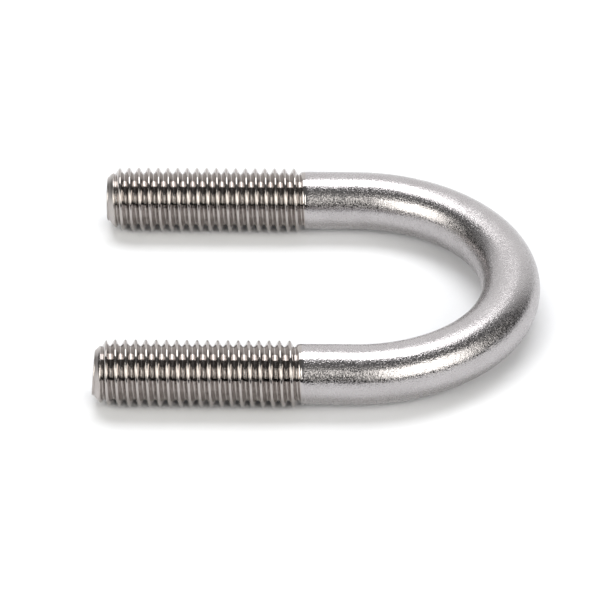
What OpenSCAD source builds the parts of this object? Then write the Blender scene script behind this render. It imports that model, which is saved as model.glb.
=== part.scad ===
// U-bolt for a round pipe: one stainless round bar bent into a U, with a rolled
// metric right-hand thread on each leg. It lies flat, as it rests on a bench.
//
// Millimetres, +Z up. Both legs run along X and point to -X, the bow is towards +X,
// the front leg is on the -Y side, and the bar lies on its thread crests at Z = 0.
// The origin is the centre of the underside.

/* [Bar] */
// Diameter of the plain bar, which is the blank that the thread is rolled on
bar_d = 8.9; // [8.8:0.05:9.1]
// Clear width between the legs, which is the diameter of the bow's inside
inside_w = 38; // [24:1:80]
// Length of each straight leg, from its tip to the start of the bow
leg_l = 38.45; // [34:0.05:90]

/* [Thread] */
// Diameter over the thread crests
crest_d = 9.85; // [9.75:0.01:10]
// Distance from one crest to the next
pitch = 1.5; // [1.25:0.25:1.75]
// Length of each thread over its crests, with the tapered point
thread_l = 29.85; // [20:0.05:31]
// Diameter of the flat end face, inside the tapered point
point_d = 6.5; // [4:0.1:7]
// Turn of the helix about its leg, which sets where the first groove starts
thread_clock = 135; // [0:5:360]

/* [Hidden] */
$fn = 96;

bar_r = bar_d / 2;
crest_r = crest_d / 2;
point_r = point_d / 2;

// Centre line of the U
bow_r = inside_w / 2 + bar_r;
total_l = leg_l + bow_r + bar_r;
tip_x = -total_l / 2;
bow_x = tip_x + leg_l;

// The threaded end holds a short neck of plain bar, which the groove runs out into
neck_l = 1.6;
threaded_end_l = thread_l + neck_l;
shank_l = leg_l - threaded_end_l;

// 60 degree thread form. The groove's root is a flat a little narrower than the
// standard pitch / 4, and the crest is a narrow land on the crest cylinder.
flank_slope = tan(30);
crest_land = 0.125 * pitch;
root_flat = 0.16 * pitch;
thread_depth = (pitch - crest_land - root_flat) / 2 / flank_slope;
root_r = crest_r - thread_depth;

// The groove is cut by a helical wedge that starts before the tip. It is full depth
// to just past the last crest, and then climbs out of the neck in half a turn. The
// wedge stays below the radius where its own neighbouring turns would meet.
steps_per_turn = 24;
wedge_proud = 0.13;
runout_proud = 0.1;
wedge_r = crest_r + wedge_proud;
start_x = -pitch * thread_clock / 360;
runout_turns = 0.5;
full_turns = (thread_l + pitch / 3 - start_x) / pitch;
groove_steps = round((full_turns + runout_turns) * steps_per_turn);

// Radius of the groove's floor after a number of turns
function floor_r(turn) =
  let (climb = max(0, turn - full_turns) / runout_turns)
  root_r + (bar_r + runout_proud - root_r) * climb;

// Four corners of the wedge after a number of turns, about the X axis
function wedge(turn) =
  let (
    angle = 360 * turn,
    x = start_x + pitch * turn,
    r = floor_r(turn),
    half_floor = root_flat / 2,
    half_top = half_floor + (wedge_r - r) * flank_slope,
    out = [0, cos(angle), sin(angle)]
  )
  [
    [x - half_top, 0, 0] + wedge_r * out,
    [x + half_top, 0, 0] + wedge_r * out,
    [x + half_floor, 0, 0] + r * out,
    [x - half_floor, 0, 0] + r * out
  ];

// Triangles that join one four-cornered ring to the next
function ring_walls(ring) = [
  for (corner = [0:3])
    let (
      here = 4 * ring + corner,
      next = 4 * ring + (corner + 1) % 4
    )
    each [[here, next, next + 4], [here, next + 4, here + 4]]
];

module helical_groove() {
  last_ring = 4 * groove_steps;
  polyhedron(
    points = [for (step = [0:groove_steps]) each wedge(step / steps_per_turn)],
    faces = [
      [3, 2, 1, 0],
      for (ring = [0:groove_steps - 1]) each ring_walls(ring),
      [last_ring, last_ring + 1, last_ring + 2, last_ring + 3]
    ],
    convexity = 2 * ceil(full_turns)
  );
}

// A threaded end with its tip at the origin, running to +X: a bar over the crests
// with a 45 degree point, and a neck of plain bar, with the groove cut out of both.
// The crests end inside the last turn of the groove, so no step shows there.
module threaded_end() {
  point_l = crest_r - point_r;
  difference() {
    rotate([0, 90, 0])
      rotate_extrude()
        polygon([
          [0, 0],
          [point_r, 0],
          [crest_r, point_l],
          [crest_r, thread_l],
          [bar_r, thread_l],
          [bar_r, threaded_end_l],
          [0, threaded_end_l]
        ]);
    helical_groove();
  }
}

module place_leg(side) {
  translate([0, side * bow_r, crest_r])
    children();
}

module shank(side) {
  color("lightgray")
    place_leg(side)
      translate([tip_x + threaded_end_l, 0, 0])
        rotate([0, 90, 0])
          cylinder(h = shank_l, r = bar_r);
}

module thread(side) {
  color("silver")
    place_leg(side)
      translate([tip_x, 0, 0])
        threaded_end();
}

module bow() {
  color("lightgray")
    translate([bow_x, 0, crest_r])
      rotate([0, 0, -90])
        rotate_extrude(angle = 180)
          translate([bow_r, 0])
            circle(r = bar_r);
}

module front_shank() {
  shank(-1);
}

module rear_shank() {
  shank(1);
}

module front_thread() {
  thread(-1);
}

module rear_thread() {
  thread(1);
}

bow();
front_shank();
rear_shank();
front_thread();
rear_thread();
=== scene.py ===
"""Looks of a stainless steel u-bolt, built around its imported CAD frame.

The bolt is one bar bent into a U, with a rolled thread on each leg. Each CAD node is
replaced by a finely meshed piece of the same size. Every vertex also stores its place in
the straightened bar and the bar's direction there, so that the grain and the highlights
follow the bend, and run from one piece into the next without a seam.

The bolt's sizes are in millimetres up to the point where a mesh or the camera is made.
The studio's sizes are in metres.
"""

import math

import bpy
import numpy as np
from mathutils import Matrix, Quaternion, Vector, noise


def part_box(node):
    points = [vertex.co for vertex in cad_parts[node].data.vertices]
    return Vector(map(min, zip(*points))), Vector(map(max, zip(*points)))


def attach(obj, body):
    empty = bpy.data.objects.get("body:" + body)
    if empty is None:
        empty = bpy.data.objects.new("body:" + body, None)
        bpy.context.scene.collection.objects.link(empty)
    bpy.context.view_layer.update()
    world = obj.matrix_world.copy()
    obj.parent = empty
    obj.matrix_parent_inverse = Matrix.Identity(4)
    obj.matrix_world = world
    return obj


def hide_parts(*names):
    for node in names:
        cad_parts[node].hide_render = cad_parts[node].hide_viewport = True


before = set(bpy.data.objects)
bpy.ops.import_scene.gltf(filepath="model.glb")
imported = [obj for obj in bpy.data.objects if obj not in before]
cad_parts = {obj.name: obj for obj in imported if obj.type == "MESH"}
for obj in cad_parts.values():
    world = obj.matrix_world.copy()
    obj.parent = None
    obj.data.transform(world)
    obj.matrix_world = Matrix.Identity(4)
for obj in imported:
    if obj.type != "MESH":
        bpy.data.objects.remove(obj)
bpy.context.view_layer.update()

MM = 0.001


# ---------------------------------------------------------------- sizes from the frame


def box_mm(node):
    """Lowest and highest corner of a CAD node in millimetres."""
    low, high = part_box(node)
    return low / MM, high / MM


thread_low, thread_high = box_mm("front_thread")
bow_low, bow_high = box_mm("bow")

CREST_R = (thread_high.z - thread_low.z) / 2
BAR_R = (bow_high.z - bow_low.z) / 2
BOW_R = bow_high.x - bow_low.x - BAR_R
TIP_X = thread_low.x
BOW_X = bow_low.x
NECK_END = thread_high.x - TIP_X
LEG_L = BOW_X - TIP_X
BOW_L = math.pi * BOW_R
BAR_L = 2 * LEG_L + BOW_L

# The thread: a 60 degree form, whose groove starts before the tip and climbs out of the
# bar past the last crest, as on the CAD part
PITCH = 1.5
THREAD_L = 29.85
FIRST_GROOVE_X = -0.5625
FLANK_ANGLE = math.radians(30)
THREAD_DEPTH = 0.94
ROOT_R = CREST_R - THREAD_DEPTH
FULL_TURNS = (THREAD_L + PITCH / 3 - FIRST_GROOVE_X) / PITCH
RUNOUT_TURNS = 0.5
RUNOUT_R = BAR_R + 0.1

# The point: a flat end face with a rounded rim, and a 45 degree cone that the groove cuts
# a little way into. The front leg's end face leans, which dies out over POINT_LEAN_L, and
# the rear leg was cut a little short.
POINT_R = 3.25
POINT_ROUND = 0.3
POINT_GROOVE = 0.25
POINT_GROOVE_FROM = 0.3
POINT_GROOVE_TO = 0.9
POINT_LEAN_L = 3.0
FRONT_LEAN = 0.078
REAR_INSET = 0.12

# How far the sharp edges of the thread form are rounded, and the length over which the
# crests drop to the neck and the point's shoulder rounding starts
CREST_ROUND = 0.12
ROOT_ROUND = 0.12
SHOULDER_ROUND = 0.50
NECK_ROUND = 0.30
CREST_DROP_L = 0.5
SHOULDER_START_L = 0.3

# Where the neck takes on the plain bar's relief, and where its satin finish starts
NECK_X = THREAD_L + 0.8
SATIN_START = THREAD_L + 0.85
SATIN_FADE = 0.5

# Distances from a tip between which the matte cut end turns into the polished thread
MATTE_TO = 0.9
POLISHED_FROM = 1.8

# Hollows that drawing leaves in the plain bar, and shorter ones that bending adds: the
# number to a millimetre along and around the bar, mean depth, and shift of the noise
RIPPLES = (0.22, 0.5, 0.012, 0)
CRIMPS = (0.9, 0.4, 0.006, 20)
CRIMP_FADE = 6

# Fineness of the meshes. The edge rings are distances from the tip, round the rim.
BAR_STEPS = 112
SHANK_RINGS = 29
BOW_RINGS = 295
THREAD_STEPS = 120
THREAD_STEP = 0.06
EDGE_RINGS = (0.0, 0.008, 0.03, 0.06)
FACE_RINGS = 7
FACE_CENTRE = 0.1


# ---------------------------------------------------------------- the surface


def soft_min(a, b, rounding):
    """The smaller of two heights, with the edge where they cross rounded off."""
    return (a + b - np.sqrt((a - b) ** 2 + rounding**2)) / 2


def smooth_step(low, high, value):
    """0 below one value and 1 above another, with a smooth climb between them."""
    t = np.clip((value - low) / (high - low), 0, 1)
    return t * t * (3 - 2 * t)


def point_radius(x):
    """Radius of the unthreaded point at a distance from its end face."""
    face_r = POINT_R - POINT_ROUND * math.tan(math.radians(22.5))
    round_l = POINT_ROUND * (1 - math.cos(math.radians(45)))
    inside = np.clip(POINT_ROUND - x, 0, POINT_ROUND)
    return np.where(x < round_l, face_r + np.sqrt(POINT_ROUND**2 - inside**2), POINT_R + x)


def root_height(from_centre):
    """Height of a groove's side over its floor: an arc, and then a straight flank."""
    arc_end = ROOT_ROUND * math.cos(FLANK_ANGLE)
    inside = np.minimum(from_centre, arc_end)
    arc = ROOT_ROUND - np.sqrt(ROOT_ROUND**2 - inside**2)
    return arc + (from_centre - inside) / math.tan(FLANK_ANGLE)


def thread_radius(x, angle):
    """Radius of the threaded end at a distance from its tip and an angle about +X."""
    fraction = angle / (2 * math.pi)
    turn = np.round((x - FIRST_GROOVE_X) / PITCH - fraction) + fraction
    from_centre = np.abs(x - FIRST_GROOVE_X - PITCH * turn)
    climb = np.clip((turn - FULL_TURNS) / RUNOUT_TURNS, 0, 1)
    point_cut = POINT_GROOVE * smooth_step(POINT_GROOVE_FROM, POINT_GROOVE_TO, x)
    floor = np.minimum(ROOT_R + (RUNOUT_R - ROOT_R) * climb, point_radius(x) - point_cut)
    groove = floor + root_height(from_centre)
    drop = smooth_step(THREAD_L - CREST_DROP_L / 2, THREAD_L + CREST_DROP_L / 2, x)
    crest = CREST_R + (BAR_R - CREST_R) * drop
    edge = CREST_ROUND + (NECK_ROUND - CREST_ROUND) * drop
    shoulder = SHOULDER_ROUND * smooth_step(0, SHOULDER_START_L, x)
    cut = soft_min(crest, groove, edge * (1 - climb))
    return soft_min(cut, point_radius(x), shoulder)


def hollow(place, along, around, depth, shift):
    """Depth of one kind of hollow at a bar place."""
    s, y, z = place
    return depth * (1 + noise.noise(Vector((s * along, y * around + shift, z * around))))


def bar_relief(places):
    """How far the plain bar's skin lies below its nominal radius, for an array of bar places."""
    flat = places.reshape(-1, 3)
    depth = np.empty(len(flat))
    for i, place in enumerate(flat):
        into_bow = min(place[0], BAR_L - place[0]) - LEG_L
        bend = min(1, max(0, into_bow / CRIMP_FADE))
        depth[i] = hollow(place, *RIPPLES) + bend * hollow(place, *CRIMPS)
    return depth.reshape(places.shape[:-1])


# ---------------------------------------------------------------- meshes


def leg_surface(side, x, angle, radius):
    """Points on a leg and their bar places, from distances from the tip and angles about +X."""
    y = radius * np.cos(angle)
    z = radius * np.sin(angle)
    points = np.stack([TIP_X + x, side * BOW_R + y, CREST_R + z], -1)
    along = x if side < 0 else BAR_L - x
    return points, np.stack([along, -side * y, z], -1)


def bow_surface(s, angle, radius):
    """Points on the bow and their bar places, from distances along its centre line."""
    turn = s / BOW_R - math.pi / 2
    y = radius * np.cos(angle)
    z = radius * np.sin(angle)
    reach = BOW_R - y
    points = np.stack([BOW_X + reach * np.cos(turn), reach * np.sin(turn), CREST_R + z], -1)
    return points, np.stack([LEG_L + s, y, z], -1)


def tube_mesh(name, points, places, sharp_rings):
    """A closed tube through rings of points, with filled ends and the given rings as sharp edges.

    Its faces are the walls, then the first end's and then the last end's.
    """
    rings, steps = points.shape[:2]
    corner = np.arange(rings * steps).reshape(rings, steps)
    beside = np.roll(corner, -1, axis=1)
    first_centre = rings * steps
    last_centre = first_centre + 1
    walls = np.stack([corner[:-1], beside[:-1], beside[1:], corner[1:]], -1).reshape(-1, 4)
    first_end = [(first_centre, int(b), int(a)) for a, b in zip(corner[0], beside[0])]
    last_end = [(last_centre, int(a), int(b)) for a, b in zip(corner[-1], beside[-1])]

    def with_centres(values):
        ends = [values[0].mean(0), values[-1].mean(0)]
        return np.concatenate([values.reshape(-1, 3), ends])

    mesh = bpy.data.meshes.new(name)
    mesh.from_pydata(with_centres(points) * MM, [], walls.tolist() + first_end + last_end)
    mesh.polygons.foreach_set("use_smooth", [True] * len(mesh.polygons))

    along = np.gradient(points, axis=0)
    for attribute_name, values in (("bar_place", places), ("bar_along", along)):
        attribute = mesh.attributes.new(attribute_name, "FLOAT_VECTOR", "POINT")
        attribute.data.foreach_set("vector", with_centres(values).astype(np.float32).ravel())

    ends = np.empty(2 * len(mesh.edges), int)
    mesh.edges.foreach_get("vertices", ends)
    ring_of = ends.reshape(-1, 2) // steps
    in_one_ring = ring_of[:, 0] == ring_of[:, 1]
    sharp = in_one_ring & np.isin(ring_of[:, 0], [ring % rings for ring in sharp_rings])
    edge = mesh.attributes.new("sharp_edge", "BOOLEAN", "EDGE")
    edge.data.foreach_set("value", sharp)
    return mesh


def add_piece(mesh, node, slot, *materials):
    """Shows a mesh in place of a CAD node."""
    piece = bpy.data.objects.new(mesh.name, mesh)
    bpy.context.scene.collection.objects.link(piece)
    for material in materials:
        mesh.materials.append(material)
    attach(piece, "root")
    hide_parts(node)


def angles(steps):
    """Angles of a ring's points, evenly round a circle."""
    return np.arange(steps) * 2 * math.pi / steps


def add_shank(side, node, material):
    """The plain straight stretch of a leg."""
    x_rings = np.linspace(NECK_END, LEG_L, SHANK_RINGS)
    x, angle = np.meshgrid(x_rings, angles(BAR_STEPS), indexing="ij")
    places = leg_surface(side, x, angle, BAR_R)[1]
    points, places = leg_surface(side, x, angle, BAR_R - bar_relief(places))
    mesh = tube_mesh(node + "_bar", points, places, (0, -1))
    add_piece(mesh, node, "bar", material)


def add_bow(material):
    """The half-circle bend."""
    s_rings = np.linspace(0, BOW_L, BOW_RINGS)
    s, angle = np.meshgrid(s_rings, angles(BAR_STEPS), indexing="ij")
    places = bow_surface(s, angle, BAR_R)[1]
    points, places = bow_surface(s, angle, BAR_R - bar_relief(places))
    mesh = tube_mesh("bow_bar", points, places, (0, -1))
    add_piece(mesh, "bow", "bar", material)


def add_threaded_end(side, node, lean, inset, material, neck_material):
    """A threaded end, whose neck past the groove is finished like the plain bar.

    Lean is the slope of an end face that was sheared out of square, and inset is how much
    shorter than the CAD leg the bar was cut.
    """
    thread_rings = np.arange(EDGE_RINGS[-1] + THREAD_STEP / 2, NECK_END, THREAD_STEP)
    x_rings = np.concatenate([np.zeros(FACE_RINGS), EDGE_RINGS, thread_rings, [NECK_END]])
    x, angle = np.meshgrid(x_rings, angles(THREAD_STEPS), indexing="ij")
    radius = thread_radius(x, angle)
    face_share = np.linspace(FACE_CENTRE, 1, FACE_RINGS, endpoint=False)
    radius[:FACE_RINGS] *= face_share[:, None]

    neck = x_rings > NECK_X
    nominal = leg_surface(side, x[neck], angle[neck], BAR_R)[1]
    radius[neck] -= smooth_step(NECK_X, NECK_END, x[neck]) * bar_relief(nominal)

    shift = inset + lean * (radius * np.sin(angle) + POINT_R)
    x = x + shift * (1 - smooth_step(0, POINT_LEAN_L, x))
    points, places = leg_surface(side, x, angle, radius)
    mesh = tube_mesh(node + "_rolled", points, places, (-1,))

    satin_walls = np.repeat(x_rings[:-1] > SATIN_START, THREAD_STEPS)
    satin_ends = np.repeat([False, True], THREAD_STEPS)
    satin = np.concatenate([satin_walls, satin_ends])
    mesh.polygons.foreach_set("material_index", satin.astype(int))
    add_piece(mesh, node, "thread", material, neck_material)


# ---------------------------------------------------------------- materials


def add_node(tree, kind, inputs=(), **settings):
    """A shader node with its settings, and with its inputs set or linked."""
    made = tree.nodes.new("ShaderNode" + kind)
    for name, value in settings.items():
        setattr(made, name, value)
    for name, value in dict(inputs).items():
        if isinstance(value, bpy.types.NodeSocket):
            tree.links.new(value, made.inputs[name])
        else:
            made.inputs[name].default_value = value
    return made


def bar_noise(tree, along, around, detail):
    """Noise with so many features per millimetre along the bar and around it."""
    place = add_node(tree, "Attribute", attribute_name="bar_place").outputs["Vector"]
    scale = (along, around, around)
    scaled = add_node(tree, "VectorMath", {0: place, 1: scale}, operation="MULTIPLY")
    inputs = {"Vector": scaled.outputs["Vector"], "Scale": 1.0, "Detail": detail}
    return add_node(tree, "TexNoise", inputs).outputs["Fac"]


def math_node(tree, operation, a, b):
    """The result of one sum or product."""
    return add_node(tree, "Math", {0: a, 1: b}, operation=operation).outputs["Value"]


def spread(tree, value, low, high, to_low, to_high):
    """Maps a value from one range to another, clamped."""
    inputs = {
        "Value": value,
        "From Min": low,
        "From Max": high,
        "To Min": to_low,
        "To Max": to_high,
    }
    return add_node(tree, "MapRange", inputs).outputs["Result"]


def peaks(tree, value):
    """Only the peaks of a noise, from 0 to 1, with a flat ground between them."""
    return spread(tree, value, 0.50, 0.80, 0.0, 1.0)


def mix_colour(tree, share, first, second):
    """The first colour at a share of 0, and the second at 1."""
    made = add_node(tree, "Mix", {0: share, 6: first, 7: second}, data_type="RGBA")
    return made.outputs[2]


def past_both_tips(tree, start, end):
    """0 up to one distance from either tip, and 1 beyond another."""
    place = add_node(tree, "Attribute", attribute_name="bar_place").outputs["Vector"]
    along = add_node(tree, "SeparateXYZ", {0: place}).outputs["X"]
    front = spread(tree, along, start, end, 0.0, 1.0)
    rear = spread(tree, along, BAR_L - end, BAR_L - start, 1.0, 0.0)
    return math_node(tree, "MULTIPLY", front, rear)


def away_from_thread(tree):
    """0 next to a thread, where the dies have polished the bar, and 1 a little further on."""
    return past_both_tips(tree, SATIN_START, SATIN_START + SATIN_FADE)


def heights(tree, layers):
    """The sum of layers, each a noise and its height in millimetres."""
    total = None
    for layer, height in layers:
        scaled = math_node(tree, "MULTIPLY", layer, height)
        total = scaled if total is None else math_node(tree, "ADD", total, scaled)
    return total


def steel_material(name, pale, dark, roughness, relief, brushing):
    """Bare stainless steel, stained from one tint to another.

    Roughness and relief are functions that make the sockets for the roughness and for the
    height in mm. Brushing is how far scratches round the bar draw its highlights along it.
    """
    material = bpy.data.materials.new(name)
    material.use_nodes = True
    tree = material.node_tree
    tree.nodes.clear()
    stain = spread(tree, bar_noise(tree, 0.25, 0.5, 4.0), 0.35, 0.65, 0.0, 1.0)
    bump = add_node(tree, "Bump", {"Strength": 1.0, "Distance": MM, "Height": relief(tree)})
    along = add_node(tree, "Attribute", attribute_name="bar_along").outputs["Vector"]
    shader = add_node(
        tree,
        "BsdfPrincipled",
        {
            "Base Color": mix_colour(tree, stain, pale, dark),
            "Metallic": 1.0,
            "Roughness": roughness(tree),
            "Normal": bump.outputs["Normal"],
            "Anisotropic": brushing,
            "Tangent": along,
        },
    )
    output = add_node(tree, "OutputMaterial")
    tree.links.new(shader.outputs["BSDF"], output.inputs["Surface"])
    return material


def satin_relief(tree):
    """Specks, scratches round the bar, drawing lines along it, and slow waves."""
    specks = peaks(tree, bar_noise(tree, 6.0, 6.0, 0.0))
    scratches = peaks(tree, bar_noise(tree, 7.0, 1.0, 1.0))
    drawing_lines = bar_noise(tree, 0.35, 3.0, 1.0)
    waves = bar_noise(tree, 0.7, 0.7, 1.0)
    layers = [(specks, 0.014), (scratches, 0.010), (drawing_lines, 0.006), (waves, 0.015)]
    return math_node(tree, "MULTIPLY", heights(tree, layers), away_from_thread(tree))


def satin_roughness(tree):
    """Grainy satin, which starts smooth next to the thread."""
    grain = spread(tree, bar_noise(tree, 5.0, 4.0, 1.0), 0.3, 0.7, 0.0, 0.23)
    satin = math_node(tree, "MULTIPLY", away_from_thread(tree), math_node(tree, "ADD", grain, 0.05))
    return math_node(tree, "ADD", 0.08, satin)


def rolled_relief(tree):
    """Marks that the rolling dies leave round the thread, and faint waves."""
    die_marks = bar_noise(tree, 9.0, 0.5, 1.0)
    waves = bar_noise(tree, 3.0, 3.0, 2.0)
    return heights(tree, [(die_marks, 0.004), (waves, 0.004)])


def rolled_roughness(tree):
    """Polished by the dies, except on the cut end and its point."""
    polish = spread(tree, bar_noise(tree, 1.5, 0.8, 3.0), 0.3, 0.7, 0.06, 0.13)
    past_point = past_both_tips(tree, MATTE_TO, POLISHED_FROM)
    cut_end = spread(tree, past_point, 0.0, 1.0, 0.26, 0.0)
    return math_node(tree, "ADD", polish, cut_end)


bar_material = steel_material(
    "satin_bar",
    (0.47, 0.45, 0.455, 1),
    (0.43, 0.41, 0.415, 1),
    satin_roughness,
    satin_relief,
    brushing=0.65,
)
thread_material = steel_material(
    "rolled_thread",
    (0.45, 0.42, 0.405, 1),
    (0.41, 0.38, 0.365, 1),
    rolled_roughness,
    rolled_relief,
    brushing=0.0,
)


# ---------------------------------------------------------------- the bolt

add_bow(bar_material)
add_shank(-1, "front_shank", bar_material)
add_shank(1, "rear_shank", bar_material)
add_threaded_end(-1, "front_thread", FRONT_LEAN, 0, thread_material, bar_material)
add_threaded_end(1, "rear_thread", 0, REAR_INSET, thread_material, bar_material)


# ---------------------------------------------------------------- floor, light and camera

# The floor is a disc of rings, each so many times as wide as the one inside it
FLOOR_RADIUS = 0.15
FLOOR_GROWTH = 1.6
FLOOR_RINGS = 8
FLOOR_STEPS = 64

SOFTBOX_DISTANCE = 1.2
WARM = (1.0, 0.985, 0.93)
WHITE = (1.0, 1.0, 1.0)

# The room as the steel reflects it, and the plain colour that the camera sees behind the
# floor. The backdrop's place is an azimuth and elevation, and its edge is a fade between
# two cosines of the angle from there.
LOW_WALL = (0.01, 0.01, 0.01, 1)
HIGH_WALL = (0.16, 0.16, 0.16, 1)
BACKDROP = (1.12, 1.12, 1.12, 1)
BACKDROP_PLACE = (178, 12)
BACKDROP_EDGE = (0.60, 0.80)
PALE = (0.93, 0.93, 0.93, 1)

# The camera's target, sensor and lens are in millimetres
CAMERA_AZIMUTH = 0.666
CAMERA_ELEVATION = 34.089
CAMERA_ROLL = 0.076
CAMERA_DISTANCE = 0.680
CAMERA_TARGET = Vector((-2.993, 3.142, 0))
SENSOR_WIDTH = 36.0
LENS = 268.9


def direction(azimuth, elevation):
    """Unit vector to a place in the studio. Azimuth 0 is the camera's side, 90 is +X."""
    a = math.radians(azimuth)
    e = math.radians(elevation)
    return Vector((math.sin(a) * math.cos(e), -math.cos(a) * math.cos(e), math.sin(e)))


def add_softbox(name, azimuth, elevation, width, height, radiance, colour):
    """A rectangular area light that faces the bolt."""
    light = bpy.data.lights.new(name, "AREA")
    light.shape = "RECTANGLE"
    light.size = width
    light.size_y = height
    light.color = colour
    light.energy = radiance * math.pi * width * height
    softbox = bpy.data.objects.new(name, light)
    bpy.context.scene.collection.objects.link(softbox)
    away = direction(azimuth, elevation)
    softbox.rotation_mode = "QUATERNION"
    softbox.rotation_quaternion = (-away).to_track_quat("-Z", "Y")
    softbox.location = away * SOFTBOX_DISTANCE
    softbox.visible_camera = False


def add_floor():
    """A pale sweep of paper that runs past the edge of every view."""
    points = [(0.0, 0.0, 0.0)]
    for ring in range(FLOOR_RINGS):
        r = FLOOR_RADIUS * FLOOR_GROWTH**ring
        points += [(r * math.cos(a), r * math.sin(a), 0.0) for a in angles(FLOOR_STEPS)]
    faces = [(0, 1 + i, 1 + (i + 1) % FLOOR_STEPS) for i in range(FLOOR_STEPS)]
    for ring in range(FLOOR_RINGS - 1):
        inner = 1 + ring * FLOOR_STEPS
        outer = inner + FLOOR_STEPS
        for i in range(FLOOR_STEPS):
            j = (i + 1) % FLOOR_STEPS
            faces.append((inner + i, outer + i, outer + j, inner + j))
    mesh = bpy.data.meshes.new("floor")
    mesh.from_pydata(points, [], faces)
    floor = bpy.data.objects.new("floor", mesh)
    bpy.context.scene.collection.objects.link(floor)
    mesh.materials.append(paper_material())


def paper_material():
    """Matte white paper with a faint fibre."""
    material = bpy.data.materials.new("paper")
    material.use_nodes = True
    tree = material.node_tree
    shader = tree.nodes["Principled BSDF"]
    place = add_node(tree, "TexCoord").outputs["Object"]
    fibre = add_node(tree, "TexNoise", {"Vector": place, "Scale": 900.0, "Detail": 3.0})
    dark = (0.85, 0.86, 0.885, 1)
    light = (0.87, 0.88, 0.905, 1)
    white = mix_colour(tree, fibre.outputs["Fac"], dark, light)
    tree.links.new(white, shader.inputs["Base Color"])
    shader.inputs["Roughness"].default_value = 0.9
    shader.inputs["Specular IOR Level"].default_value = 0.1
    return material


def add_room():
    """Dim walls with a bright backdrop behind the bolt, and plain pale to the camera itself."""
    world = bpy.data.worlds.new("room")
    bpy.context.scene.world = world
    world.use_nodes = True
    tree = world.node_tree
    tree.nodes.clear()
    place = add_node(tree, "TexCoord").outputs["Generated"]
    height = add_node(tree, "SeparateXYZ", {0: place}).outputs["Z"]
    climb = spread(tree, height, 0.25, 0.75, 0.0, 1.0)
    walls = mix_colour(tree, climb, LOW_WALL, HIGH_WALL)
    centre = direction(*BACKDROP_PLACE)
    facing = add_node(tree, "VectorMath", {0: place, 1: centre}, operation="DOT_PRODUCT")
    glow = spread(tree, facing.outputs["Value"], *BACKDROP_EDGE, 0.0, 1.0)
    colour = mix_colour(tree, glow, walls, BACKDROP)
    reflected = add_node(tree, "Background", {"Color": colour, "Strength": 1.0})
    pale = add_node(tree, "Background", {"Color": PALE, "Strength": 1.0})
    seen = add_node(tree, "LightPath").outputs["Is Camera Ray"]
    both = add_node(tree, "MixShader", {0: seen, 1: reflected.outputs[0], 2: pale.outputs[0]})
    output = add_node(tree, "OutputWorld")
    tree.links.new(both.outputs[0], output.inputs["Surface"])


def add_camera():
    """The camera stands in front of the bolt and well above it, with a long lens."""
    data = bpy.data.cameras.new("camera")
    data.sensor_width = SENSOR_WIDTH
    data.lens = LENS
    data.clip_start = 0.01
    data.clip_end = 20.0
    camera = bpy.data.objects.new("camera", data)
    bpy.context.scene.collection.objects.link(camera)
    azimuth = math.radians(CAMERA_AZIMUTH)
    back = direction(CAMERA_AZIMUTH, CAMERA_ELEVATION)
    right = Vector((math.cos(azimuth), math.sin(azimuth), 0))
    up = back.cross(right)
    aim = Matrix((right, up, back)).transposed().to_quaternion()
    camera.rotation_mode = "QUATERNION"
    camera.rotation_quaternion = aim @ Quaternion((0, 0, 1), math.radians(CAMERA_ROLL))
    camera.location = CAMERA_TARGET * MM + back * CAMERA_DISTANCE
    bpy.context.scene.camera = camera


add_floor()
add_room()
add_softbox("overhead", azimuth=182, elevation=71.5, width=1.12, height=0.62, radiance=4.9, colour=WHITE)
add_softbox("left", azimuth=-52, elevation=28, width=1.02, height=0.72, radiance=4.0, colour=WARM)
add_softbox("right", azimuth=45, elevation=29, width=1.04, height=0.72, radiance=4.0, colour=WARM)
add_camera()
bpy.context.scene.view_settings.view_transform = "Standard"
